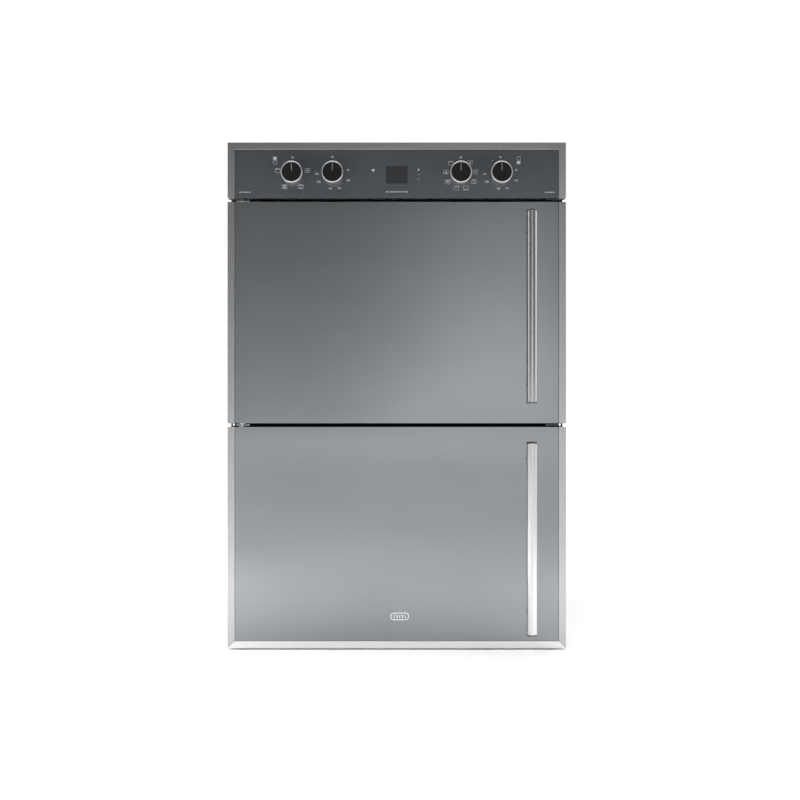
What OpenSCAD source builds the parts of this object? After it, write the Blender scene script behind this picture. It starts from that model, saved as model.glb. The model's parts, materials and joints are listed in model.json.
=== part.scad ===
// Built-in double wall oven: two side-opening doors under one control panel.
// Units are millimetres. +Z is up, the front faces -Y, and the base rails stand on z = 0.
// Every module draws in a design frame whose y = 0 plane is the face of the front frame;
// placed() then centres the whole oven on the Y axis.

/* [Front] */
// Width of the doors and the control panel
front_w = 594; // [590:1:598]
// Height from the lower door's bottom edge to the top of the control panel
front_h = 888; // [882:1:892]
// Height of the control panel
panel_h = 98; // [94:1:102]
// Gap between the panel and the upper door, and between the doors
door_gap = 6.5; // [6:0.5:8]
// Visible width of the steel edging
edging_w = 12.5; // [11:0.5:14]

/* [Carcass] */
// Width of the carcass behind the front
body_w = 556; // [552:1:560]
// Depth of the carcass behind the front frame
body_d = 550; // [540:5:560]
// Height of the carcass
body_h = 876; // [870:1:880]
// Thickness of the outer sheets
sheet = 0.8; // [0.6:0.1:1]

/* [Cavities] */
// Width inside each cavity
cavity_w = 460; // [450:1:466]
// Height inside each cavity
cavity_h = 300; // [290:1:304]
// Depth of each cavity, from the front frame
cavity_d = 410; // [400:1:420]
// Radius of the cavity corners
cavity_r = 16; // [10:1:20]

/* [Handles and knobs] */
// Diameter of the handle bars
handle_d = 18; // [16:1:20]
// Length of a handle bar with its end caps
handle_len = 330; // [300:5:340]
// Distance from the glass to a handle bar's axis
handle_reach = 50; // [44:1:56]
// Distance of the handle axis from the middle of the oven
handle_x = 230; // [224:1:234]
// Radius of a knob's metal skirt
knob_r = 19; // [17:0.5:21]
// Height of a knob above the panel glass
knob_h = 17; // [15:0.5:20]

/* [Hidden] */
$fn = 48;

// Front levels
base_gap = 3;                                   // lower door's edge above the base
door_h = (front_h - panel_h - 2 * door_gap) / 2;
lower_door_z = base_gap;
upper_door_z = lower_door_z + door_h + door_gap;
panel_z = upper_door_z + door_h + door_gap;
front_top = base_gap + front_h;
lower_mid = lower_door_z + door_h / 2;          // cavity and door centre heights
upper_mid = upper_door_z + door_h / 2;
mid_gap_z = upper_door_z - door_gap / 2;
top_gap_z = panel_z - door_gap / 2;

// Depths, measured from the face of the front frame
front_y = -36;                                  // face of the steel edging
glass_y = front_y + 0.5;                        // face of the outer glass
glass_t = 4;
glass_back = glass_y + glass_t;
door_back = -6;                                 // inner face of a door
edging_depth = 15;
edging_back = front_y + edging_depth;
skin = 1.2;                                     // folded sheet of doors, frame and edging
frame_t = 1.2;
glass_w = front_w - 2 * edging_w - 0.6;         // glass between the two edgings
body_front = glass_back + 0.2;                  // door tray's open side
side_reach = edging_w + 0.3;                    // edging's flange, to the door tray's side
lower_sill = edging_w + 0.3;                    // lower door's glass above its bottom edge
lower_tray = 5;                                 // door trays above their doors' bottom edges
upper_tray = 1.5;
cavity_sheet = 1;
blanket_t = 26;
handle_y = glass_y - handle_reach;
gland_x = -180;
gland_z = 822;
gland_bore_r = 5.5;
gland_end = body_d + 12;
y_mid = (gland_end + handle_y - handle_d / 2) / 2;

// Hinges
hinge_x = -272;
hinge_y = -27;
pin_r = 3;
pin_clearance = 0.05;
pin_len = 13;
arm_t = 3;
arm_w = 23;
tail_w = 16.6;
tab_t = 2.5;
low_arm_z = 1;                                  // the bottom arm is thinner, to fit under the door
low_arm_t = 1.5;
block_h = 14;

// Door interior
window_w = 440;
window_h = 240;
pane_w = 475;
pane_h = 280;
inner_pane_t = 4;
middle_pane_t = 3;
inner_pane_y = door_back - skin - inner_pane_t;
middle_pane_y = inner_pane_y - 8;
groove_play = 0.2;
channel_y = middle_pane_y - 3;                  // channels that hold the panes' upright edges
channel_w = 14;

// Racks and shelves
level_pitch = 45;
rack_levels = [for (i = [0:4]) (i - 2.4) * level_pitch];
rail_pair = 14;                                 // upper rail above lower rail
rail_r = 2;
rail_x = cavity_w / 2 - 7;
post_r = 2.5;
post_x = cavity_w / 2 - 3.1;
shelf_level = rack_levels[2] + rail_r + 0.3;    // underside of a shelf's frame wire
tray_level = rack_levels[0] + rail_r + 0.3;
shelf_wire_r = 3;
shelf_half_w = cavity_w / 2 - 6;
shelf_front = 28;
shelf_back = 356;
tray_h = 28;
tray_t = 1.2;

// Control panel
knob_z = panel_z + 42.7;
function_x = 183;
thermostat_x = 112;
knob_x = [-function_x, -thermostat_x, thermostat_x, function_x];
knob_back = glass_y - 0.8;
knob_face = glass_y - knob_h;
shaft_r = 3;
bracket_y = edging_back;                        // plate that the edging is screwed to
bracket_t = 1;
switch_back = 10;
panel_opening_z = panel_z + 40;
display_z = panel_z + 41;
display_w = 38;
display_h = 30.5;

// Fans
fan_r = 75;
fan_y = cavity_d - 10;                          // back plate of the convection fan
fan_shaft_r = 4;
ring_r = 95;
ring_leg = 14;
ring_leg_z = -sqrt(ring_r * ring_r - ring_leg * ring_leg);
lamp_x = -198;
lamp_z = 100;
element_r = 3.5;
element_leg = 24;
grill_z = cavity_h / 2 - 22;
base_element_z = 9 - cavity_h / 2;
blower_r = 26;
blower_y = 160;
blower_z = 826;
blower_x0 = -160;
blower_x1 = 60;

// Cabinet fixings
fixing_x = 292.5;
fixing_r = 2.1;
fixing_z = [60, 730];

// ---------- helpers ----------

module placed() translate([0, -y_mid, 0]) children();

// Rounded rectangle with true arcs, centred
module round_rect(w, h, r) {
  square([w - 2 * r, h], center = true);
  square([w, h - 2 * r], center = true);
  for (sx = [-1, 1], sz = [-1, 1]) translate([sx * (w / 2 - r), sz * (h / 2 - r)]) circle(r);
}

// Upright slab: centred in x and z, front face at y = 0, t deep
module slab(w, h, t, r = 0) {
  translate([0, t, 0]) rotate([90, 0, 0]) linear_extrude(t)
    if (r > 0) round_rect(w, h, r);
    else square([w, h], center = true);
}

// Flat slab: centred in x and y, underside at z = 0
module flat_slab(w, d, t, r = 0) {
  linear_extrude(t)
    if (r > 0) round_rect(w, d, r);
    else square([w, d], center = true);
}

// Rod along +Y, +X or +Z from the origin
module rod_y(r, l) rotate([-90, 0, 0]) cylinder(r = r, h = l);
module rod_x(r, l) rotate([0, 90, 0]) cylinder(r = r, h = l);
module rod_z(r, l) cylinder(r = r, h = l);

module both_sides() {
  children();
  mirror([1, 0, 0]) children();
}

// Points of a flat path whose corners are rounded to radius r
function unit(v) = v / norm(v);
function corner(a, b, c, r, n) =
  let (u = unit(a - b), v = unit(c - b),
       half = acos(u * v) / 2,
       centre = b + unit(u + v) * r / sin(half),
       p = b + u * r / tan(half), q = b + v * r / tan(half),
       a0 = atan2(p[1] - centre[1], p[0] - centre[0]),
       a1 = atan2(q[1] - centre[1], q[0] - centre[0]),
       d = ((a1 - a0 + 540) % 360) - 180)
  [for (i = [0:n]) centre + r * [cos(a0 + d * i / n), sin(a0 + d * i / n)]];
function rounded_path(p, r, n = 5) =
  [p[0], for (i = [1:len(p) - 2]) each corner(p[i - 1], p[i], p[i + 1], r, n), p[len(p) - 1]];

// Round tube of radius r that follows a flat path in the XY plane
module swept_tube(path, r, sides = 10) {
  last = len(path) - 1;
  function heading(i) = unit(path[min(i + 1, last)] - path[max(i - 1, 0)]);
  rings = [for (i = [0:last], k = [0:sides - 1])
    let (t = heading(i), a = 360 * k / sides)
    [path[i][0] - t[1] * r * cos(a), path[i][1] + t[0] * r * cos(a), r * sin(a)]];
  walls = [for (i = [0:last - 1], k = [0:sides - 1])
    let (a = i * sides + k, b = i * sides + (k + 1) % sides)
    [a, b, b + sides, a + sides]];
  ends = [[for (k = [sides - 1:-1:0]) k], [for (k = [0:sides - 1]) last * sides + k]];
  polyhedron(rings, concat(walls, ends));
}

// ---------- carcass ----------

module side_panel() {
  color("silver") difference() {
    translate([-body_w / 2, frame_t, 2]) cube([sheet, body_d - sheet - frame_t, body_h - sheet - 2]);
    for (row = [0:1], i = [0:6])
      translate([-body_w / 2 - 1, 420 + row * 55, 700 + i * 18]) cube([sheet + 2, 40, 5]);
  }
}

module top_cover() {
  color("silver") difference() {
    union() {
      translate([-body_w / 2, frame_t, body_h - sheet]) cube([body_w, body_d - frame_t, sheet]);
      translate([-body_w / 2 + sheet + 0.2, frame_t, body_h - 10])
        cube([body_w - 2 * sheet - 0.4, sheet, 10 - sheet / 2]);
    }
    for (i = [-4:4]) translate([i * 44 - 15, 470, body_h - 3]) cube([30, 6, 5]);
  }
}

module base_plate() {
  rail_h = 12;
  rail_w = 32;
  color("silver") {
    translate([-body_w / 2 + sheet + 0.2, frame_t, rail_h])
      cube([body_w - 2 * sheet - 0.4, body_d - sheet - frame_t - 0.2, 1]);
    both_sides() translate([190, 12, 0]) difference() {
      cube([rail_w, body_d - 30, rail_h + 0.5]);
      translate([1.5, -1, 1.5]) cube([rail_w - 3, body_d, rail_h - 1.5]);
    }
  }
}

module rear_cover() {
  color("silver") difference() {
    translate([0, body_d - sheet, (body_h - sheet + 2) / 2])
      slab(body_w, body_h - sheet - 2, sheet);
    for (mid = [lower_mid, upper_mid], i = [0:7], s = [-1, 1])
      translate([s * 120 - 45, body_d - 2, mid - 70 + i * 18]) cube([90, 4, 5]);
    translate([gland_x, body_d - 2, gland_z]) rod_y(8.1, 4);
    for (x = [-265, 265], z = [20, 300, 580, 850])
      translate([x, body_d - 2, z]) rod_y(2, 4);
  }
}

module front_frame() {
  z0 = base_gap + 1;
  z1 = front_top - 2;
  color("dimgray") difference() {
    translate([0, 0, (z0 + z1) / 2]) slab(front_w, z1 - z0, frame_t, 3);
    for (mid = [lower_mid, upper_mid])
      translate([0, -1, mid]) slab(cavity_w, cavity_h, frame_t + 2, cavity_r);
    translate([0, -1, panel_opening_z]) slab(524, 54, frame_t + 2, 4);
    for (i = [-6:6]) translate([i * 33 - 13, -1, panel_z - 5.4]) cube([26, frame_t + 2, 4.2]);
    for (z = concat(fixing_z, [mid_gap_z]), s = [-1, 1])
      translate([s * fixing_x, -1, z]) rod_y(fixing_r, frame_t + 2);
    for (z = [mid_gap_z, top_gap_z])
      translate([hinge_x - 5, -1, z - arm_t / 2 - 0.2]) cube([17, frame_t + 2, arm_t + 0.4]);
  }
}

module cavity_liner(mid) {
  back = cavity_d + cavity_sheet;
  difference() {
    union() {
      translate([0, frame_t, mid])
        slab(cavity_w + 2 * cavity_sheet, cavity_h + 2 * cavity_sheet, back - frame_t,
             cavity_r + cavity_sheet);
      translate([0, frame_t, mid]) slab(cavity_w + 40, cavity_h + 36, cavity_sheet, cavity_r);
    }
    translate([0, 0, mid]) slab(cavity_w, cavity_h, cavity_d, cavity_r);
    translate([lamp_x, cavity_d - 1, mid + lamp_z]) rod_y(20.2, 4);
    leg_holes(mid + grill_z, element_leg);
  }
}

// Holes in a cavity's back wall for an element's two legs
module leg_holes(z, leg)
  for (s = [-1, 1]) translate([s * leg, cavity_d - 1, z]) rod_y(element_r + 0.9, 4);

module upper_cavity() {
  color("darkslategray") difference() {
    cavity_liner(upper_mid);
    leg_holes(upper_mid + base_element_z, element_leg);
  }
}

module lower_cavity() {
  color("darkslategray") difference() {
    cavity_liner(lower_mid);
    translate([0, cavity_d - 1, lower_mid]) rod_y(6, 4);
    leg_holes(lower_mid + ring_leg_z, ring_leg);
  }
}

module blanket(mid) {
  grow = 2 * (cavity_sheet + 0.5);
  difference() {
    translate([0, 3, mid])
      slab(cavity_w + 2 * blanket_t, cavity_h + 2 * blanket_t, cavity_d + blanket_t - 3, 24);
    translate([0, 0, mid])
      slab(cavity_w + grow, cavity_h + grow, cavity_d + grow / 2 + 0.5, cavity_r + grow / 2);
    translate([lamp_x, cavity_d - 1, mid + lamp_z]) rod_y(24, blanket_t + 4);
    leg_notch(mid + grill_z);
  }
}

module leg_notch(z) translate([-40, cavity_d - 1, z - 11]) cube([80, blanket_t + 4, 22]);

module insulation_blankets() {
  color("khaki") {
    difference() {
      blanket(upper_mid);
      leg_notch(upper_mid + base_element_z);
    }
    difference() {
      blanket(lower_mid);
      translate([0, cavity_d - 1, lower_mid]) rod_y(48, blanket_t + 4);
      leg_notch(lower_mid + ring_leg_z);
    }
  }
}

module door_gaskets() {
  color("black") for (mid = [lower_mid, upper_mid])
    translate([0, door_back + 0.3, mid]) difference() {
      slab(cavity_w + 32, cavity_h + 32, -door_back - 0.3, 22);
      translate([0, -1, 0]) slab(cavity_w + 18, cavity_h + 18, 10, 15);
    }
}

// One wire ladder that carries the shelves, on the right-hand wall
module side_rack() {
  for (y = [45, 345]) translate([post_x, y, -130]) rod_z(post_r, 262);
  for (z = rack_levels, dz = [0, rail_pair]) translate([rail_x, 24, z + dz]) rod_y(rail_r, 340);
}

module side_racks(mid) {
  color("gainsboro") both_sides() translate([0, 0, mid]) side_rack();
}

// Route of a flat heating coil: in through the back wall, round the edge of the cavity,
// then to and fro across it, and out again on the other side
function mirrored(p) = concat(p, [for (i = [len(p) - 1:-1:0]) [-p[i][0], p[i][1]]]);
function coil_points(side, folds) =
  let (leg = element_leg, tail = cavity_d + 18, back = cavity_d - 40, front = 62,
       step = (side - leg) / folds)
  mirrored(concat([[leg, tail], [leg, back], [side, back], [side, front]],
    [for (i = [1:folds], end = [0, 1])
      [side - i * step, (i + end) % 2 == 1 ? front : back - step]]));

module flat_element(z, side, folds) {
  color("gray") translate([0, 0, z])
    swept_tube(rounded_path(coil_points(side, folds), 14, 4), element_r, 8);
}

module ring_element() {
  gap = asin(ring_leg / ring_r);
  color("gray") translate([0, fan_y - 14, lower_mid]) {
    rotate([90, 0, 0]) rotate([0, 0, -90 + gap])
      rotate_extrude(angle = 360 - 2 * gap) translate([ring_r, 0]) circle(element_r);
    for (s = [-1, 1]) translate([s * ring_leg, -3, ring_leg_z]) rod_y(element_r, 52);
  }
}

module fan_cover() {
  w = 330;
  h = 240;
  depth = 44;
  hub = 62;
  color("darkslategray") translate([0, cavity_d - depth, lower_mid]) difference() {
    slab(w, h, depth, 20);
    translate([0, 1, 0]) slab(w - 2, h - 2, depth, 19);
    for (a = [0:24:336], ring = [0, 1])
      rotate([0, a, 0]) translate([18 + ring * (hub / 2 - 8), -1, -2.5]) cube([18, 4, 5]);
    for (s = [-1, 1], i = [-4:4])
      translate([s * (w / 2 - 30) - 9, -1, i * 22 - 4]) cube([18, 4, 8]);
    for (s = [-1, 1], i = [-3:3])
      translate([s * w / 2 - 4, 14, i * 26 - 8]) cube([8, 14, 16]);
  }
}

module fan_motor() {
  color("slategray") translate([0, cavity_d + cavity_sheet, lower_mid]) difference() {
    union() {
      rod_y(34, 46);
      slab(92, 20, 3);
      translate([0, 46, 0]) rod_y(14, 10);
    }
    translate([0, -1, 0]) rod_y(fan_shaft_r + pin_clearance, 42);
    for (s = [-1, 1]) translate([s * 41, -1, 0]) rod_y(2, 6);
  }
}

module fan_wheel() {
  color("lightgray") translate([0, 0, lower_mid]) {
    translate([0, fan_y, 0]) rod_y(fan_r, 1);
    translate([0, fan_y - 12, 0]) rod_y(9, 12.5);
    for (a = [0:36:324]) rotate([0, a, 0]) translate([fan_r - 26, fan_y - 22, -0.6]) cube([24, 22.5, 1.2]);
    translate([0, fan_y - 16, 0]) rod_y(fan_shaft_r, 60);
  }
}

module oven_lamps() {
  color("lightyellow") for (mid = [lower_mid, upper_mid]) translate([lamp_x, cavity_d, mid + lamp_z]) {
    translate([0, -14, 0]) rod_y(17, 14.2);
    translate([0, -4, 0]) rod_y(23, 4);
    rod_y(20, 38);
    translate([0, 38, 0]) rod_y(12, 10);
  }
}

module blower_housing() {
  len_x = blower_x1 - blower_x0;
  z0 = 776;
  wall = 1;
  box_y = blower_y - 38;
  duct_w = 452;
  duct_z = panel_z - 10;
  duct_h = 14;
  color("lightgray") difference() {
    union() {
      translate([blower_x0, box_y, z0]) cube([len_x, 76, body_h - 4 - z0]);
      translate([-duct_w / 2, frame_t, duct_z]) cube([duct_w, box_y + 2 - frame_t, duct_h]);
    }
    translate([blower_x0 + wall, box_y + wall, z0 + wall])
      cube([len_x - 2 * wall, 76 - 2 * wall, body_h - 4 - z0 - 2 * wall]);
    translate([-duct_w / 2 + wall, 0, duct_z + wall])
      cube([duct_w - 2 * wall, box_y + wall, duct_h - 2 * wall]);
    translate([blower_x0 + wall, box_y - wall, duct_z + wall])
      cube([len_x - 2 * wall, 6, duct_h - 2 * wall]);
    for (i = [0:7]) translate([blower_x0 + 14 + i * 25, box_y + 70, z0 + 20]) cube([16, 12, 50]);
    for (x = [blower_x0 - 1, blower_x1 - 3])
      translate([x, blower_y, blower_z]) rod_x(shaft_r + pin_clearance, 4);
  }
}

module blower_wheel() {
  len_x = blower_x1 - blower_x0 - 12;
  blades = 18;
  color("dimgray") translate([blower_x0 + 6, blower_y, blower_z]) {
    for (x = [0, len_x / 2, len_x - 1.2]) translate([x, 0, 0]) rod_x(blower_r, 1.2);
    for (i = [0:blades - 1]) rotate([i * 360 / blades, 0, 0])
      translate([0, blower_r - 7.5, -0.5]) cube([len_x, 7, 1]);
    translate([-10, 0, 0]) rod_x(shaft_r, 10.5);
    translate([len_x - 0.5, 0, 0]) rod_x(shaft_r, 24);
  }
}

module blower_motor() {
  color("slategray") translate([blower_x1, blower_y, blower_z]) difference() {
    union() {
      rod_x(25, 40);
      translate([0, -32, -10]) cube([3, 64, 20]);
    }
    translate([-1, 0, 0]) rod_x(shaft_r + pin_clearance, 24);
    for (s = [-1, 1]) translate([-1, s * 28, 0]) rod_x(2, 6);
  }
}

module terminal_box() {
  color("whitesmoke") translate([gland_x - 50, body_d - sheet - 44, gland_z - 22]) difference() {
    cube([80, 44, 44]);
    translate([2, 2, 2]) cube([76, 40, 43]);
    translate([50, 30, 22]) rod_y(8.1, 20);
  }
}

module cable_gland() {
  inside = body_d - sheet - 2;
  color("black") translate([gland_x, 0, gland_z]) difference() {
    union() {
      translate([0, inside - 6, 0]) rod_y(8, gland_end - inside + 6);
      translate([0, inside - 6, 0]) rod_y(11, 6);
      translate([0, body_d, 0]) rod_y(12, 5);
    }
    translate([0, inside - 7, 0]) rod_y(gland_bore_r, 30);
  }
}

// ---------- control panel ----------

// One fold of the edging: a band on both sides, inset from the outer edges, with a bar
// along the top (bar = 1) or the bottom (bar = -1) of its height
module edging_band(z, h, bar, inset, side_w, bar_w, y, t) {
  low = bar == -1 ? inset : 0;
  high = bar == 1 ? inset : 0;
  both_sides() translate([front_w / 2 - inset - side_w, y, z + low])
    cube([side_w, t, h - low - high]);
  if (bar != 0) translate([inset - front_w / 2, y, bar == 1 ? z + h - inset - bar_w : z + inset])
    cube([front_w - 2 * inset, t, bar_w]);
}

// Folded steel edging: face, outer web, inner lip round the glass, and a back flange that
// reaches inwards to the sheet that it is screwed to
module edging(z, h, bar, side_flange, bar_flange) {
  edging_band(z, h, bar, 0, edging_w, edging_w, front_y, skin);
  edging_band(z, h, bar, 0, skin, skin, front_y, edging_depth);
  edging_band(z, h, bar, edging_w - skin, skin, skin, front_y, glass_back - front_y);
  edging_band(z, h, bar, 0, side_flange, bar_flange, edging_back - skin, skin);
}

module fascia_frame() {
  color("gray") edging(panel_z, panel_h, 1, 35, 20);
}

module fascia_glass() {
  h = panel_h - edging_w - 0.3;
  color("darkslategray") difference() {
    translate([0, glass_y, panel_z + h / 2]) slab(glass_w, h, glass_t);
    for (x = knob_x) translate([x, glass_y - 1, knob_z]) rod_y(5, glass_t + 2);
  }
}

module display_module() {
  color("black") {
    translate([0, glass_back + 0.2, display_z]) slab(display_w, display_h, 3);
    translate([0, glass_back + 3, display_z]) slab(70, 44, bracket_y - glass_back - 3);
  }
}

module control_bracket() {
  w = 536;
  h = 80;
  mid = panel_z + 2 + h / 2;
  color("silver") difference() {
    translate([0, bracket_y, mid]) slab(w, h, -bracket_y);
    translate([0, bracket_y + bracket_t, mid]) slab(w - 2 * bracket_t, h - 2 * bracket_t, 30);
    for (x = knob_x) translate([x, bracket_y - 1, knob_z]) rod_y(5.1, 4);
  }
}

module rotary_switches() {
  front = bracket_y + bracket_t;
  color("whitesmoke") for (x = knob_x) translate([x, 0, knob_z]) difference() {
    union() {
      translate([0, front, 0]) slab(34, 30, switch_back - front);
      translate([0, bracket_y - 5, 0]) rod_y(5, 8);
    }
    translate([0, bracket_y - 6, 0]) rod_y(shaft_r + pin_clearance, 22);
  }
}

module knob_skirt(x) {
  color("silver") translate([x, 0, knob_z]) difference() {
    translate([0, knob_face, 0]) rotate([-90, 0, 0])
      cylinder(r1 = knob_r - 0.2, r2 = knob_r, h = knob_back - knob_face);
    translate([0, knob_face - 1, 0]) rod_y(knob_r - 2.1, 14);
    translate([0, knob_face, 0]) rod_y(5, knob_h + 2);
  }
}

module knob_cap(x) {
  cap_back = knob_face + 13;
  color("black") translate([x, 0, knob_z]) {
    translate([0, knob_face - 0.3, 0]) rod_y(knob_r - 2.3, cap_back - knob_face + 0.3);
    translate([0, cap_back - 1, 0]) rod_y(4.9, 5);
    translate([0, cap_back, 0]) rod_y(shaft_r, bracket_y + 14 - cap_back);
    translate([-0.6, knob_face - 0.5, 5]) cube([1.2, 0.5, knob_r - 8]);
  }
}

// ---------- hinges and catches ----------

// Arm that reaches forward from the frame to the hinge axis; its underside is at z
module arm_plate(z, t) {
  translate([hinge_x - 11, hinge_y + 1, z]) cube([arm_w, -hinge_y - 1, t]);
  translate([hinge_x, hinge_y, z]) rod_z(4, t);
}

// The arm's tail goes back to y = reach, and its tab lies against the back of the frame
module arm_tail(z, t, reach, tab_low, tab_high) {
  x = hinge_x - 4.8;
  translate([x, -1, z]) cube([tail_w, reach + 1, t]);
  translate([x, frame_t, tab_low]) cube([tail_w, tab_t, tab_high - tab_low]);
}

module hinge_pin(z, len) translate([hinge_x, hinge_y, z]) rod_z(pin_r, len);

module hinge_arm_top() {
  z = top_gap_z - arm_t / 2;
  color("silver") {
    arm_plate(z, arm_t);
    arm_tail(z, arm_t, 14, z - 9, z + 11);
    hinge_pin(z - pin_len, pin_len + 1);
  }
}

module hinge_arm_middle() {
  z = mid_gap_z - arm_t / 2;
  color("silver") {
    arm_plate(z, arm_t);
    arm_tail(z, arm_t, 14, z - 9, z + 11);
    hinge_pin(z - pin_len, arm_t + 2 * pin_len);
  }
}

// The bottom arm lies under the door's edge and passes below the frame
module hinge_arm_bottom() {
  color("silver") {
    arm_plate(low_arm_z, low_arm_t);
    arm_tail(low_arm_z, low_arm_t, 10, low_arm_z, 11.5);
    hinge_pin(low_arm_z + 0.5, pin_len + 4);
  }
}

module door_catches() {
  color("dimgray") {
    for (z = [mid_gap_z - 38, mid_gap_z + 10]) translate([262, -5.4, z]) cube([14, 5.4, 28]);
    translate([264, -16, mid_gap_z - 1.5]) cube([24, 16, 3]);
    translate([266, -1.5, mid_gap_z - 12]) cube([8, 1.5, 24]);
  }
}

// ---------- doors ----------

// Outer glass of the door whose lower edge is at z; the pane starts sill above that
module door_glass(z, sill) {
  color("slategray") difference() {
    translate([0, glass_y, z + (door_h + sill) / 2]) slab(glass_w, door_h - sill, glass_t, 2);
    for (p = handle_posts_z(z)) translate([handle_x, glass_y - 1, p]) rod_y(3.5, glass_t + 2);
  }
}

module upper_door_edging() {
  color("gray") edging(upper_door_z, door_h, 0, side_reach, 0);
}

module lower_door_edging() {
  color("lightgray") difference() {
    edging(lower_door_z, door_h, -1, side_reach, lower_tray);
    translate([hinge_x, hinge_y, lower_door_z - 1]) rod_z(pin_r + 1, 6);
  }
}

// Folded door tray, open towards the glass, with pane channels and hinge blocks. It spans
// from low above the door's lower edge z to 1.5 below its upper edge.
module door_body(z, low) {
  h = door_h - low - 1.5;
  mid = z + low + h / 2;
  depth = door_back - body_front;
  color("silver") difference() {
    translate([0, body_front, mid]) union() {
      difference() {
        slab(glass_w, h, depth, 4);
        translate([0, -1, 0]) slab(glass_w - 2 * skin, h - 2 * skin, depth - skin + 1, 3);
        slab(window_w, window_h, depth + 2, 12);
      }
      both_sides() translate([pane_w / 2 - 3.5, channel_y - body_front, -pane_h / 2 - 2])
        cube([channel_w, door_back - channel_y - skin / 2, pane_h + 4]);
      for (s = [-1, 1])
        translate([hinge_x - 11.5, 0, s * (h - block_h) / 2 - block_h / 2])
          cube([28, 14, block_h]);
    }
    pane_groove(mid, inner_pane_y, inner_pane_t, 0);
    pane_groove(mid, middle_pane_y, middle_pane_t, groove_play);
    translate([hinge_x, hinge_y, mid - h / 2 - 1]) rod_z(pin_r + pin_clearance, h + 2);
    for (i = [-8:8], s = [-1, 1])
      translate([i * 28 - 8, body_front + 8, mid + s * h / 2 - 2]) cube([16, 8, 4]);
  }
}

module pane_groove(mid, y, t, play) {
  translate([0, y - groove_play, mid])
    slab(pane_w + 0.6, pane_h + 0.6, t + groove_play + play);
}

module door_pane(door_mid, low, y, t) {
  color("lightblue") translate([0, y, door_mid + (low - 1.5) / 2]) slab(pane_w, pane_h, t, 3);
}

function handle_mid(z) = z + door_h / 2 + 5.5;
function handle_posts_z(z) = [handle_mid(z) - handle_len / 2 + 32, handle_mid(z) + handle_len / 2 - 32];

module handle_bar(z) {
  bar = handle_len - 6;
  color("gainsboro") difference() {
    translate([handle_x, handle_y, handle_mid(z) - bar / 2]) rod_z(handle_d / 2, bar);
    translate([handle_x, handle_y, handle_mid(z) - handle_len / 2]) rod_z(handle_d / 2 - 1.6, handle_len);
    for (p = handle_posts_z(z)) translate([handle_x, handle_y, p]) rod_y(5.05, handle_d);
  }
}

module handle_fittings(z) {
  color("dimgray") {
    for (p = handle_posts_z(z)) translate([handle_x, 0, p]) {
      translate([0, handle_y + 5.5, 0]) rod_y(5, handle_reach - 5.5);
      translate([0, glass_y - 2.2, 0]) rod_y(7.5, 2.2);
      translate([0, glass_y - 1, 0]) rod_y(3, glass_t + 6);
      translate([0, glass_back, 0]) rod_y(6.5, 3.5);
    }
    for (s = [-1, 1]) translate([handle_x, handle_y, handle_mid(z) + s * (handle_len / 2 - 1.5) - 1.5])
      rod_z(handle_d / 2, 3);
  }
}

// ---------- shelves ----------

module wire_shelf(mid) {
  half = shelf_half_w - shelf_wire_r;
  z = mid + shelf_level + shelf_wire_r;
  bars = 18;
  color("gainsboro") translate([0, 0, z]) {
    for (y = [shelf_front, shelf_back])
      translate([-half - 1, y, 0]) rod_x(shelf_wire_r, 2 * half + 2);
    both_sides() translate([half, shelf_front - 1, 0])
      rod_y(shelf_wire_r, shelf_back - shelf_front + 2);
    for (i = [1:bars])
      translate([-half + i * 2 * half / (bars + 1), shelf_front, 1.6])
        rod_y(1.5, shelf_back - shelf_front);
    translate([-half, (shelf_front + shelf_back) / 2, -1.4]) rod_x(2, 2 * half);
  }
}

module baking_tray(mid) {
  w = 2 * (shelf_half_w - 7.5);
  d = shelf_back - shelf_front - 8;
  z = mid + tray_level;
  color("black") translate([0, (shelf_front + shelf_back) / 2, z]) difference() {
    union() {
      translate([0, 0, tray_t - tray_h]) flat_slab(w, d, tray_h, 14);
      flat_slab(2 * shelf_half_w, d + 8, tray_t, 16);
    }
    translate([0, 0, 2 * tray_t - tray_h])
      flat_slab(w - 2 * tray_t, d - 2 * tray_t, tray_h + 2, 13);
  }
}

// ---------- nodes ----------

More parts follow.
